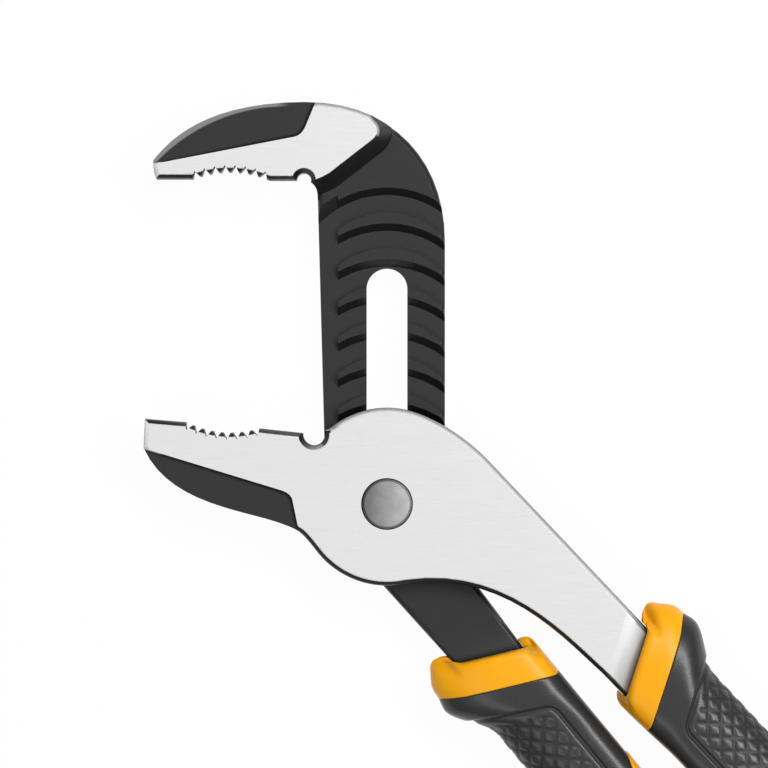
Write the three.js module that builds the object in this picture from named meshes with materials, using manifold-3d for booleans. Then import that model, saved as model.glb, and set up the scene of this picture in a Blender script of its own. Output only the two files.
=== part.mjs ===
// Water pump pliers of the tongue-and-groove kind, 250 mm class, set to the widest groove.
//
// Millimetres. Z is the pivot axis, Y runs along the slot, and the tool lies on its back on z = 0.
// The jaws point to -X and the handles to the lower right. The slotted arm is the back layer,
// the tongue arm lies over it, and both jaws have the thickness of the two layers together.

import * as THREE from 'three';
import { mergeVertices } from 'three/addons/utils/BufferGeometryUtils.js';
import Module from 'manifold-3d';

const wasm = await Module();
wasm.setup();

// Stack on the pivot, from the rest plane up
const NUT_HEIGHT = 2.6;
const WASHER_THICKNESS = 0.6;
const SEAT_GAP = 0.1;
const ARM_THICKNESS = 5.2;
const PARTING_GAP = 0.15;
const HEAD_STAND = 0.45;

// Pivot hardware
const SLOT_WIDTH = 9;
const SHANK_PLAY = 0.2;
const HEAD_DIAMETER = 11;
const HEAD_HEIGHT = 2.4;
const HEAD_PLAY = 0.2;
const HEAD_CHAMFER = 0.5;
const WASHER_DIAMETER = 17;
const NUT_ACROSS_FLATS = 13;
const SLOT_CHAMFER = 0.4;

// Tongue and grooves: angles are counted from +X about the pivot
const GROOVE_COUNT = 7;
const GROOVE_PITCH = 7.9;
const GROOVE_DEPTH = 2;
const GROOVE_WALL_RUN = 1.6;
const GROOVE_RELIEF = 2;
const TONGUE_RIM = 0.8;
const TONGUE_WIDTH = 3.2;
const TONGUE_PLAY = 0.3;
const TONGUE_START = 72;
const TONGUE_END = 125;
const LANE_EDGE = 10.8;
const LANE_FOOT = 4;
const LANE_RUNOUT = 2.6;

// Swing of the tongue arm from the pose drawn here, in degrees
const SWING_OPEN = 60;
const SWING_SHUT = 4.5;
const SWING_PLAY = 0.5;

// Forged outlines
const EDGE_RADIUS = 1.1;
const ARM_LEFT = 15.3;
const ARM_WAIST = 13.7;
const ARM_RIGHT = 12.8;
const DISC_RADIUS = 19.6;
const DISC_LIFT = 1.6;
const NOTCH_RADIUS = 2.4;
const SCALLOP_RADIUS = 1.6;
const JAW_REACH = 53.6;
const LOWER_LAND = 18.7;
const CLOSED_GAP = 5.5;
const STEP_RUN = 3.4;
const POCKET_DEPTH = 1.2;
const POCKET_FILLET = 0.7;

// Jaw teeth
const TOOTH_COUNT = 8;
const TOOTH_PITCH = 2.15;
const TOOTH_WIDTH = 0.5;
const TOOTH_DEPTH = 1.5;
const TOOTH_HOLLOW = 1.55;

// Handles: U runs along a handle from its collar, V from its inner edge outwards
const HANDLE_SLOPE = 48.6;
const HANDLE_SPREAD = 3.4;
const LEFT_START = 43.4;
const LEFT_OFFSET = 5.6;
const RIGHT_START = 66.8;
const RIGHT_OFFSET = 8.2;
const TANG_WIDTH = 13.9;
const LEFT_TANG_EDGE = 2.7;
const RIGHT_TANG_EDGE = 1.05;
const TANG_LENGTH = 106;
const TANG_TIP_WIDTH = 8;
const TANG_COVER = 2.4;
const TANG_SHOULDER = 6;
const TANG_JOIN = -7;
const TANG_LAP = 1.5;
const TANG_INSET = 0.02;
const JOGGLE_START = -6.5;
const JOGGLE_END = 9;

// Grips
const GRIP_LENGTH = 124;
const GRIP_THICKNESS = 17;
const GRIP_WAIST = 19.3;
const GRIP_BELLY = 21.6;
const LEFT_GUARD = 25;
const RIGHT_GUARD = 23.8;
const GRIP_BOW = 4;
const LEFT_COLLAR = 8;
const RIGHT_COLLAR = 7.6;
const LEFT_SKEW = 0.49;
const RIGHT_SKEW = 0.55;
const SKEW_EASE = 20;
const SKEW_END = 60;
const COLLAR_LIP = 2;
const LIP_INNER = 0.5;
const LIP_OUTER = 2;
const LIP_TOP = 1.2;
const COLLAR_CROWN = 2.5;
const MOULD_GAP = 0.3;
const CORE_WALL = 1.2;
const INLAY_START = 32.2;
const INLAY_LENGTH = 60;
const INLAY_HEIGHT = 13.6;

// Fineness of curves
const CURVE_STEPS = 14;
const EDGE_STEPS = 2;
const ROUND_STEPS = 48;
const GRIP_STEPS = 20;

// Heights of the layers
const BACK = NUT_HEIGHT + WASHER_THICKNESS + 2 * SEAT_GAP;
const ARM_FACE = BACK + ARM_THICKNESS;
const TONGUE_BACK = ARM_FACE + PARTING_GAP;
const FRONT = TONGUE_BACK + ARM_THICKNESS;
const GRIP_MIDDLE = GRIP_THICKNESS / 2;
const SLEEVE_START = 5;
const SLEEVE_END = TANG_LENGTH + 2 * CORE_WALL;
const CLEAR = 5;

// Sizes that follow
const TRAVEL = GROOVE_PITCH * (GROOVE_COUNT - 1);
const UPPER_LAND = LOWER_LAND + CLOSED_GAP + TRAVEL;
const SHANK_RADIUS = SLOT_WIDTH / 2 - SHANK_PLAY;
const TONGUE_OUTER = DISC_RADIUS + DISC_LIFT - TONGUE_RIM;
const TONGUE_INNER = TONGUE_OUTER - TONGUE_WIDTH;
const GROOVE_INNER = TONGUE_INNER - TONGUE_PLAY;
const GROOVE_OUTER = TONGUE_OUTER + GROOVE_RELIEF;

const rad = THREE.MathUtils.degToRad;

// Solids and joins

/** The closed solid of a three.js geometry, with its faces turned outwards. */
function solidOf(geometry) {
  const plain = new THREE.BufferGeometry();
  plain.setAttribute('position', geometry.getAttribute('position'));
  plain.setIndex(geometry.getIndex());
  const merged = mergeVertices(plain, 1e-4);
  const points = merged.getAttribute('position').array;
  const corners = merged.getIndex().array;
  const triangles = [];
  let volume = 0;
  const [a, b, c] = [new THREE.Vector3(), new THREE.Vector3(), new THREE.Vector3()];
  for (let i = 0; i < corners.length; i += 3) {
    const [p, q, r] = corners.slice(i, i + 3);
    if (p === q || q === r || r === p) continue;
    triangles.push([p, q, r]);
    a.fromArray(points, 3 * p);
    b.fromArray(points, 3 * q);
    c.fromArray(points, 3 * r);
    volume += a.dot(b.cross(c));
  }
  const turned = volume < 0 ? triangles.map(([p, q, r]) => [p, r, q]) : triangles;
  return new wasm.Manifold(new wasm.Mesh({
    numProp: 3,
    vertProperties: new Float32Array(points),
    triVerts: new Uint32Array(turned.flat()),
  }));
}

/** The three.js geometry of a finished solid. */
function geometryOf(solid) {
  const { vertProperties, triVerts } = solid.getMesh();
  const geometry = new THREE.BufferGeometry();
  geometry.setAttribute('position', new THREE.BufferAttribute(vertProperties, 3));
  geometry.setIndex(new THREE.BufferAttribute(triVerts, 1));
  geometry.computeVertexNormals();
  return geometry;
}

/** An outline as points, without the doubled ones where two curves meet. */
function pointsOf(shape) {
  const points = shape.getPoints(CURVE_STEPS);
  return points.filter((point, i) => point.distanceTo(points.at(i - 1)) > 0.02);
}

/** A flat outline raised from zBottom to zTop, with its edges rounded by radius. */
function plate(shape, zBottom, zTop, radius = 0) {
  const geometry = new THREE.ExtrudeGeometry(new THREE.Shape(pointsOf(shape)), {
    depth: zTop - zBottom - 2 * radius,
    bevelEnabled: radius > 0,
    bevelThickness: radius,
    bevelSize: radius,
    bevelOffset: -radius,
    bevelSegments: EDGE_STEPS,
  });
  geometry.translate(0, 0, zBottom + radius);
  return solidOf(geometry);
}

/** An outline at zTop that widens by run over the given drop, as a straight bank does. */
function bank(shape, zTop, drop, run, skirt) {
  const geometry = new THREE.ExtrudeGeometry(new THREE.Shape(pointsOf(shape)), {
    depth: skirt,
    bevelThickness: drop,
    bevelSize: run,
    bevelSegments: 1,
  });
  geometry.translate(0, 0, zTop - drop - skirt);
  return solidOf(geometry);
}

/** A profile of (radius, height) points turned about the Z axis through (x, y). */
function turned(profile, x = 0, y = 0) {
  const points = profile.map(([radius, height]) => new THREE.Vector2(radius, height));
  const geometry = new THREE.LatheGeometry(points, ROUND_STEPS);
  geometry.rotateX(Math.PI / 2);
  geometry.translate(x, y, 0);
  return solidOf(geometry);
}

/** A skin over rings of equally many points, closed by a fan at each end. */
function loft(rings) {
  const count = rings[0].length;
  const points = rings.flat();
  const index = [];
  for (let ring = 0; ring + 1 < rings.length; ring += 1) {
    for (let i = 0; i < count; i += 1) {
      const p = ring * count + i;
      const q = ring * count + ((i + 1) % count);
      index.push(p, q, q + count, p, q + count, p + count);
    }
  }
  for (const [ring, flip] of [[0, true], [rings.length - 1, false]]) {
    const middle = new THREE.Vector3();
    rings[ring].forEach((point) => middle.addScaledVector(point, 1 / count));
    points.push(middle);
    for (let i = 0; i < count; i += 1) {
      const p = ring * count + i;
      const q = ring * count + ((i + 1) % count);
      index.push(...(flip ? [points.length - 1, q, p] : [points.length - 1, p, q]));
    }
  }
  const geometry = new THREE.BufferGeometry().setFromPoints(points);
  geometry.setIndex(index);
  return solidOf(geometry);
}

/** A block between two corners. */
function block(low, high) {
  const size = high.map((value, axis) => value - low[axis]);
  const geometry = new THREE.BoxGeometry(...size);
  geometry.translate(...low.map((value, axis) => value + size[axis] / 2));
  return solidOf(geometry);
}

/** A closed outline through corners. */
function polygon(corners) {
  return new THREE.Shape(corners.map(([x, y]) => new THREE.Vector2(x, y)));
}

/** Continues a path by a circular arc to (x, y) that rises by sag to the left of its chord. */
function arcBy(path, x, y, sag) {
  const from = path.currentPoint.clone();
  const to = new THREE.Vector2(x, y);
  const half = from.distanceTo(to) / 2;
  const radius = (half * half + sag * sag) / (2 * sag);
  const along = to.clone().sub(from).normalize();
  const left = new THREE.Vector2(-along.y, along.x);
  const centre = from.clone().add(to).multiplyScalar(0.5).addScaledVector(left, sag - radius);
  const angle = (point) => Math.atan2(point.y - centre.y, point.x - centre.x);
  path.absarc(centre.x, centre.y, Math.abs(radius), angle(from), angle(to), sag > 0);
}

/** A cubic curve to (x, y) with the given tangent lengths and directions at its two ends. */
function sweepTo(path, startAngle, startLength, x, y, endAngle, endLength) {
  const { x: fromX, y: fromY } = path.currentPoint;
  path.bezierCurveTo(
    fromX + startLength * Math.cos(startAngle),
    fromY + startLength * Math.sin(startAngle),
    x - endLength * Math.cos(endAngle),
    y - endLength * Math.sin(endAngle),
    x,
    y,
  );
}

// Handles

const leftHandle = {
  side: -1,
  angle: -rad(HANDLE_SLOPE + HANDLE_SPREAD / 2),
  start: LEFT_START,
  offset: -LEFT_OFFSET,
  tangEdge: LEFT_TANG_EDGE,
  skew: LEFT_SKEW,
  collar: LEFT_COLLAR,
  guard: LEFT_GUARD,
  layer: (BACK + ARM_FACE) / 2,
  innerNeck: [-15.8, -0.8],
  outerNeck: [-30.5, 1.25],
};
const rightHandle = {
  side: 1,
  angle: -rad(HANDLE_SLOPE - HANDLE_SPREAD / 2),
  start: RIGHT_START,
  offset: RIGHT_OFFSET,
  tangEdge: RIGHT_TANG_EDGE,
  skew: RIGHT_SKEW,
  collar: RIGHT_COLLAR,
  guard: RIGHT_GUARD,
  layer: (TONGUE_BACK + FRONT) / 2,
  innerNeck: [-7.4, -0.1],
  outerNeck: [-58.2, -0.3],
};

/** The plan point of a handle's own (U, V). */
function onHandle(handle, u, v) {
  const along = handle.start + u;
  const across = handle.side * (handle.offset + v);
  const [c, s] = [Math.cos(handle.angle), Math.sin(handle.angle)];
  return [along * c - across * s, along * s + across * c];
}

/** V of a tang's edge, 'inner' or 'outer', where it crosses the mouth of the collar. */
function mouthEdge(handle, edge) {
  return handle.tangEdge + (edge === 'outer' ? TANG_WIDTH : 0);
}

/** The plan point where the forged neck meets the straight run of a tang's edge. */
function neckPoint(handle, edge) {
  const [u, rise] = edge === 'outer' ? handle.outerNeck : handle.innerNeck;
  return onHandle(handle, u, mouthEdge(handle, edge) + rise);
}

/** How far a section at station s leans: full at the collar, square to the handle further back. */
function skew(handle, s) {
  return handle.skew * (1 - THREE.MathUtils.smoothstep(s, SKEW_EASE, SKEW_END));
}

/** U of a section's point: sections are cut parallel to the mouth of the collar. */
function skewedU(handle, s, v) {
  return s - skew(handle, s) * (v - LEFT_TANG_EDGE);
}

/** The outward bow of a grip along its hidden length. */
function bow(s) {
  const free = Math.max(0, (s - INLAY_START) / (GRIP_LENGTH - INLAY_START));
  return GRIP_BOW * free * free;
}

/** V of a tang's edge at station s: straight up to the mouth, then stepped in and tapering to the tip. */
function tangEdgeAt(handle, edge, s) {
  const mouth = mouthEdge(handle, edge);
  const [neckU, rise] = edge === 'outer' ? handle.outerNeck : handle.innerNeck;
  if (s <= 0) {
    const slope = rise / neckU;
    const lean = skew(handle, s);
    return (mouth + slope * (s + lean * LEFT_TANG_EDGE)) / (1 + slope * lean);
  }
  const taper = THREE.MathUtils.smoothstep(s, 0, TANG_LENGTH) * (TANG_WIDTH - TANG_TIP_WIDTH) / 2;
  if (edge === 'outer') return mouth - taper + bow(s);
  const shoulder = THREE.MathUtils.smoothstep(s, 0, TANG_SHOULDER) * Math.max(0, TANG_COVER - mouth);
  return mouth + shoulder + taper + bow(s);
}

/** Height of the tang's middle: it steps from its arm's layer to the middle of the grip. */
function tangMiddle(handle, s) {
  const share = THREE.MathUtils.smoothstep(s, JOGGLE_START, JOGGLE_END);
  return handle.layer + share * (GRIP_MIDDLE - handle.layer);
}

/** One ring round the tang at station s, grown on all sides. */
function tangRing(handle, s, grow) {
  const [inner, outer] = ['inner', 'outer'].map((edge) => tangEdgeAt(handle, edge, s));
  const radius = EDGE_RADIUS + Math.max(0, grow);
  const halfWidth = (outer - inner) / 2 + grow - radius;
  const halfHeight = ARM_THICKNESS / 2 + grow - radius;
  const ring = [];
  for (const [quarter, right, up] of [[0, 1, 1], [1, -1, 1], [2, -1, -1], [3, 1, -1]]) {
    for (let step = 0; step <= EDGE_STEPS; step += 1) {
      const angle = (quarter + step / EDGE_STEPS) * Math.PI / 2;
      const v = (inner + outer) / 2 + right * halfWidth + radius * Math.cos(angle);
      const z = tangMiddle(handle, s) + up * halfHeight + radius * Math.sin(angle);
      ring.push(new THREE.Vector3(...onHandle(handle, skewedU(handle, s, v), v), z));
    }
  }
  return ring;
}

const TANG_STATIONS = [-4.5, -2, 0, 2.5, 5, 9, 20, 35, 50, 65, 80, 95];

/** The tang behind the join, or the hollow for it when grown. */
function tang(handle, first, last, grow) {
  const stations = TANG_STATIONS.filter((s) => s > first && s < last);
  return loft([first, ...stations, last].map((s) => tangRing(handle, s, grow)));
}

/** Everything of an arm's plate that lies behind the join with its tang. */
function behindJoin(handle) {
  const far = GRIP_LENGTH + CLEAR;
  const wide = 2 * handle.guard;
  return plate(polygon([
    onHandle(handle, skewedU(handle, TANG_JOIN, -wide), -wide),
    onHandle(handle, far, -wide),
    onHandle(handle, far, wide),
    onHandle(handle, skewedU(handle, TANG_JOIN, wide), wide),
  ]), -CLEAR, FRONT + CLEAR);
}

/** An arm's plates cut at the join and continued by the joggled tang. */
function withTang(arm, handle) {
  return arm.subtract(behindJoin(handle))
    .add(tang(handle, TANG_JOIN - TANG_LAP, TANG_LENGTH, -TANG_INSET));
}

// Jaws

/** The V cuts between jaw teeth, spread along the hollow between two corners. */
function toothCuts(from, to, sag) {
  const path = new THREE.Path().moveTo(...from);
  arcBy(path, ...to, sag);
  const hollow = path.curves[0];
  const length = hollow.getLength();
  const cuts = [];
  for (let tooth = 0; tooth < TOOTH_COUNT; tooth += 1) {
    const share = 0.5 + (tooth - (TOOTH_COUNT - 1) / 2) * TOOTH_PITCH / length;
    const point = hollow.getPointAt(share);
    const along = hollow.getTangentAt(share);
    const inward = new THREE.Vector2(-along.y, along.x);
    const corner = (a, b) => point.clone().addScaledVector(along, a).addScaledVector(inward, b).toArray();
    const half = (TOOTH_PITCH - TOOTH_WIDTH) / 2;
    cuts.push(plate(polygon([
      corner(-half, 0),
      corner(-half, -TOOTH_DEPTH),
      corner(half, -TOOTH_DEPTH),
      corner(half, 0),
      corner(0, TOOTH_DEPTH),
    ]), BACK - CLEAR, FRONT + CLEAR));
  }
  return cuts;
}

/** The same pocket sunk into the front and the back face. */
function pockets(shape) {
  return [
    plate(shape, FRONT - POCKET_DEPTH, FRONT + CLEAR, POCKET_FILLET),
    plate(shape, BACK - CLEAR, BACK + POCKET_DEPTH, POCKET_FILLET),
  ];
}

/** A round hollow cut from one face to the other and flared at both. */
function scallop(x, y, radius) {
  const wide = radius + EDGE_RADIUS + CLEAR;
  return turned([
    [0, BACK - CLEAR],
    [wide, BACK - CLEAR],
    [radius, BACK + EDGE_RADIUS],
    [radius, FRONT - EDGE_RADIUS],
    [wide, FRONT + CLEAR],
    [0, FRONT + CLEAR],
  ], x, y);
}

const upperTeeth = { from: [-42.8, UPPER_LAND], to: [-26.4, UPPER_LAND - 0.1] };
const lowerTeeth = { from: [-28.2, LOWER_LAND - 2.1], to: [-44.2, LOWER_LAND - 0.75] };

// Slotted arm

/** The slotted arm in plan, anticlockwise from the tip of the upper jaw. */
function slottedOutline() {
  const path = new THREE.Shape();
  const land = UPPER_LAND;
  path.moveTo(-JAW_REACH + 2.8, land);
  path.lineTo(...upperTeeth.from);
  arcBy(path, ...upperTeeth.to, TOOTH_HOLLOW);
  path.lineTo(-25.8, land - 0.3);
  path.lineTo(-ARM_LEFT - 2.4, land - 0.3);
  path.quadraticCurveTo(-ARM_LEFT, land - 1, -ARM_LEFT, land - 4);
  path.lineTo(-ARM_WAIST, 9);
  const outer = neckPoint(leftHandle, 'outer');
  sweepTo(path, rad(-90), 12, ...outer, rad(-48.2), 7);
  path.lineTo(...onHandle(leftHandle, 0, mouthEdge(leftHandle, 'outer')));
  path.lineTo(...onHandle(leftHandle, 0, mouthEdge(leftHandle, 'inner')));
  path.lineTo(...neckPoint(leftHandle, 'inner'));
  sweepTo(path, rad(126.7), 3, ARM_RIGHT, 8, rad(90), 19);
  path.lineTo(ARM_RIGHT, land - 13.6);
  sweepTo(path, rad(90), 17.3, -18, land + 16.9, rad(180), 19.8);
  sweepTo(path, rad(180), 22.4, -JAW_REACH + 2.1, land + 4, rad(-128.5), 5.4);
  path.lineTo(-JAW_REACH + 2.3, land + 1.4);
  return path;
}

/** The raised face of the upper jaw in plan; past the outline it runs free. */
function raisedJaw() {
  const path = new THREE.Shape();
  const land = UPPER_LAND;
  path.moveTo(-12.6, land + 1.4);
  path.lineTo(-3.2, land + 8.7);
  path.quadraticCurveTo(-1.5, land + 10.2, -2.9, land + 12);
  path.lineTo(-7, land + 17);
  path.lineTo(-15, land + 25);
  path.lineTo(-JAW_REACH - CLEAR, land + 25);
  path.lineTo(-JAW_REACH - CLEAR, land - CLEAR);
  path.lineTo(-ARM_LEFT - 4, land - CLEAR);
  path.lineTo(-ARM_LEFT - 1.6, land - 0.4);
  path.quadraticCurveTo(-ARM_LEFT + 0.5, land, -12.6, land + 1.4);
  return path;
}

/** The black pocket behind the upper jaw's ground face. */
function upperPocket() {
  const path = new THREE.Shape();
  const land = UPPER_LAND;
  path.moveTo(-JAW_REACH - 2.4, land + 2.3);
  path.lineTo(-20.4, land + 9.2);
  path.quadraticCurveTo(-18.7, land + 9.6, -17.9, land + 11.6);
  path.lineTo(-14.9, land + 18.8);
  path.lineTo(-14.9, land + 25);
  path.lineTo(-JAW_REACH - 2.4, land + 25);
  return path;
}

/** The slot in plan. */
function slotOutline() {
  const path = new THREE.Shape();
  const half = SLOT_WIDTH / 2;
  path.moveTo(half, 0);
  path.lineTo(half, TRAVEL);
  path.absarc(0, TRAVEL, half, 0, Math.PI, false);
  path.lineTo(-half, 0);
  path.absarc(0, 0, half, Math.PI, 2 * Math.PI, false);
  return path;
}

/** One arc groove about the pivot's place y: steep bearing wall inside, sloping wall outside. */
function groove(y) {
  const above = 1;
  const floor = ARM_FACE - GROOVE_DEPTH;
  const ring = turned([
    [GROOVE_INNER, floor],
    [GROOVE_OUTER - GROOVE_WALL_RUN, floor],
    [GROOVE_OUTER + above * GROOVE_WALL_RUN / GROOVE_DEPTH, ARM_FACE + above],
    [GROOVE_INNER, ARM_FACE + above],
    [GROOVE_INNER, floor],
  ], 0, y);
  return ring.intersect(block(
    [-LANE_EDGE, y + CLEAR, floor - CLEAR],
    [ARM_RIGHT + CLEAR, y + GROOVE_OUTER + CLEAR, ARM_FACE + CLEAR],
  ));
}

/** The lane beside the grooves in which the tongue travels while the handles are swung wide. */
function lane() {
  const above = 1;
  const floor = ARM_FACE - GROOVE_DEPTH;
  const reach = GROOVE_OUTER - GROOVE_WALL_RUN;
  const far = -ARM_LEFT - CLEAR;
  const runOut = turned([
    [0, floor],
    [reach, floor],
    [reach + LANE_RUNOUT * (1 + above / GROOVE_DEPTH), ARM_FACE + above],
    [0, ARM_FACE + above],
  ], 0, TRAVEL);
  const beside = block([far, TRAVEL, floor - CLEAR], [-LANE_EDGE, UPPER_LAND, ARM_FACE + CLEAR]);
  return runOut.intersect(beside)
    .add(block([far, -LANE_FOOT, floor], [-LANE_EDGE, TRAVEL + 1, ARM_FACE + above]));
}

function slottedArm() {
  const outline = slottedOutline();
  const layer = plate(outline, BACK, ARM_FACE, EDGE_RADIUS);
  const drop = FRONT - ARM_FACE;
  const jaw = plate(outline, BACK, FRONT, EDGE_RADIUS)
    .intersect(bank(raisedJaw(), FRONT, drop, STEP_RUN, ARM_THICKNESS / 4));
  const cuts = [
    ...pockets(upperPocket()),
    ...toothCuts(upperTeeth.from, upperTeeth.to, TOOTH_HOLLOW),
    scallop(-ARM_LEFT - 3, UPPER_LAND - 0.3, SCALLOP_RADIUS),
    plate(slotOutline(), BACK - CLEAR, FRONT + CLEAR),
    bank(slotOutline(), BACK + SLOT_CHAMFER, SLOT_CHAMFER, SLOT_CHAMFER, CLEAR),
    lane(),
  ];
  for (let place = 0; place < GROOVE_COUNT; place += 1) {
    cuts.push(groove(place * GROOVE_PITCH));
  }
  return cuts.reduce((arm, cut) => arm.subtract(cut), withTang(layer.add(jaw), leftHandle));
}

// Tongue arm

/** The tongue arm in plan, anticlockwise from the lower corner of the jaw's tip. */
function tongueOutline() {
  const path = new THREE.Shape();
  const land = LOWER_LAND;
  const onDisc = (degrees) => [
    DISC_RADIUS * Math.cos(rad(degrees)),
    DISC_LIFT + DISC_RADIUS * Math.sin(rad(degrees)),
  ];
  const disc = (from, to) => path.absarc(0, DISC_LIFT, DISC_RADIUS, rad(from), rad(to), false);
  path.moveTo(-JAW_REACH, land - 6.4);
  sweepTo(path, rad(-66), 13.8, -22.8, land - 23.2, rad(-21.2), 8.8);
  sweepTo(path, rad(-21.2), 3.9, ...onDisc(218), rad(308), 5.7);
  disc(218, 282);
  sweepTo(path, rad(8.6), 21.5, ...neckPoint(rightHandle, 'inner'), rad(-42.2), 12);
  path.lineTo(...onHandle(rightHandle, 0, mouthEdge(rightHandle, 'inner')));
  path.lineTo(...onHandle(rightHandle, 0, mouthEdge(rightHandle, 'outer')));
  path.lineTo(...neckPoint(rightHandle, 'outer'));
  sweepTo(path, rad(133.1), 6, ...onDisc(70), rad(160), 6);
  disc(70, 130);
  path.lineTo(-16.1, land - 3.4);
  path.lineTo(...lowerTeeth.from);
  arcBy(path, ...lowerTeeth.to, TOOTH_HOLLOW);
  path.lineTo(-JAW_REACH + 0.3, land);
  return path;
}

/**
 * The part of the lower jaw that is as thick as both layers, in plan: what stays clear of the slotted
 * arm's side at both ends of the swing, and so all through it.
 */
function thickJaw() {
  const [shut, open] = [rad(180 + SWING_SHUT), rad(180 - SWING_OPEN)];
  const middle = (shut + open) / 2;
  const near = (ARM_LEFT + SWING_PLAY) / Math.cos((shut - open) / 2);
  const far = 2 * JAW_REACH;
  const from = (angle, length) => [
    near * Math.cos(middle) + length * Math.cos(angle),
    near * Math.sin(middle) + length * Math.sin(angle),
  ];
  return polygon([from(shut, 0), from(shut - Math.PI / 2, far), from(middle, far), from(open + Math.PI / 2, far)]);
}

/** The black pocket under the lower jaw's ground face. */
function lowerPocket() {
  const path = new THREE.Shape();
  const land = LOWER_LAND;
  path.moveTo(-JAW_REACH - 3, land - 5.5);
  path.lineTo(-23.2, land - 15.7);
  path.quadraticCurveTo(-21.1, land - 16.4, -20.8, land - 17.9);
  path.lineTo(-18.7, land - 28);
  path.lineTo(-JAW_REACH - 3, land - 28);
  return path;
}

/** The arc rib on the arm's back that bears in a groove; its outer face slopes as the groove does. */
function tongue() {
  const height = GROOVE_DEPTH - TONGUE_PLAY;
  const tip = TONGUE_BACK - PARTING_GAP - height;
  const run = height * GROOVE_WALL_RUN / GROOVE_DEPTH;
  const root = TONGUE_BACK + ARM_THICKNESS / 4;
  const ring = turned([
    [TONGUE_INNER, tip],
    [TONGUE_OUTER - run, tip],
    [TONGUE_OUTER, TONGUE_BACK],
    [TONGUE_OUTER, root],
    [TONGUE_INNER, root],
    [TONGUE_INNER, tip],
  ]);
  const far = 2 * DISC_RADIUS;
  const ray = (degrees) => [far * Math.cos(rad(degrees)), far * Math.sin(rad(degrees))];
  const middle = (TONGUE_START + TONGUE_END) / 2;
  return ring.intersect(plate(polygon([
    [0, 0],
    ray(TONGUE_START),
    ray(middle),
    ray(TONGUE_END),
  ]), 0, FRONT));
}

function tongueArm() {
  const outline = tongueOutline();
  const layer = plate(outline, TONGUE_BACK, FRONT, EDGE_RADIUS);
  const jaw = plate(outline, BACK, FRONT, EDGE_RADIUS)
    .intersect(plate(thickJaw(), BACK - CLEAR, FRONT + CLEAR));
  const bore = SLOT_WIDTH / 2;
  const seat = FRONT + HEAD_STAND - HEAD_HEIGHT - SEAT_GAP;
  const recess = HEAD_DIAMETER / 2 + HEAD_PLAY;
  const cuts = [
    ...pockets(lowerPocket()),
    ...toothCuts(lowerTeeth.from, lowerTeeth.to, TOOTH_HOLLOW),
    scallop(-16.1, LOWER_LAND - 3.4, NOTCH_RADIUS),
    turned([[0, 0], [bore, 0], [bore, FRONT], [0, FRONT]]),
    turned([[0, seat], [recess, seat], [recess, FRONT + CLEAR], [0, FRONT + CLEAR]]),
  ];
  const whole = withTang(layer.add(jaw), rightHandle).add(tongue());
  return cuts.reduce((arm, cut) => arm.subtract(cut), whole);
}

// Pivot hardware

function pivotBolt() {
  const top = FRONT + HEAD_STAND;
  const head = HEAD_DIAMETER / 2;
  return turned([
    [0, 0],
    [SHANK_RADIUS, 0],
    [SHANK_RADIUS, top - HEAD_HEIGHT],
    [head, top - HEAD_HEIGHT],
    [head, top - HEAD_CHAMFER],
    [head - HEAD_CHAMFER, top],
    [0, top],
  ]);
}

function pivotWasher() {
  const bottom = NUT_HEIGHT + SEAT_GAP;
  const top = bottom + WASHER_THICKNESS;
  const bore = SHANK_RADIUS + SHANK_PLAY;
  const rim = WASHER_DIAMETER / 2;
  return turned([[bore, bottom], [rim, bottom], [rim, top], [bore, top], [bore, bottom]]);
}

function pivotNut() {
  const corner = NUT_ACROSS_FLATS / Math.sqrt(3);
  const flat = NUT_ACROSS_FLATS / 2;
  const hexagon = polygon([0, 60, 120, 180, 240, 300].map((degrees) => [
    corner * Math.cos(rad(degrees)),
    corner * Math.sin(rad(degrees)),
  ]));
  const slope = (corner - flat) * Math.tan(rad(30));
  const rounded = turned([[0, 0], [flat, 0], [corner, slope], [corner, NUT_HEIGHT], [0, NUT_HEIGHT]]);
  const bore = SHANK_RADIUS + SHANK_PLAY;
  return plate(hexagon, 0, NUT_HEIGHT)
    .intersect(rounded)
    .subtract(turned([[0, -CLEAR], [bore, -CLEAR], [bore, NUT_HEIGHT + CLEAR], [0, NUT_HEIGHT + CLEAR]]));
}

// Grips

/** A smooth curve through (station, value) pairs. */
function along(stops, s) {
  const last = stops.length - 1;
  const i = Math.min(last - 1, Math.max(0, stops.findIndex(([at]) => s < at) - 1));
  const k = s >= stops[last][0] ? last - 1 : i;
  const [[s0, a], [s1, b]] = [stops[k], stops[k + 1]];
  return a + (b - a) * THREE.MathUtils.smoothstep(s, s0, s1);
}

/** V of the grip's outer side at station s: collar, guard, waist, belly and tail. */
function gripOuter(handle, s) {
  return along([
    [0, handle.guard - 4.2],
    [handle.collar, handle.guard - 0.8],
    [11.2, handle.guard],
    [19.3, GRIP_WAIST],
    [32, GRIP_WAIST],
    [62, GRIP_BELLY],
    [GRIP_LENGTH - 18, GRIP_WAIST - 0.6],
    [GRIP_LENGTH - 4, GRIP_WAIST],
  ], s);
}

/** Half the thickness of the grip at station s. */
function gripHalf(s) {
  return GRIP_MIDDLE * along([
    [0, 0.96],
    [8, 1],
    [12, 1],
    [24, 0.9],
    [62, 1],
    [GRIP_LENGTH - 18, 0.86],
    [GRIP_LENGTH - 4, 0.9],
  ], s);
}

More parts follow.
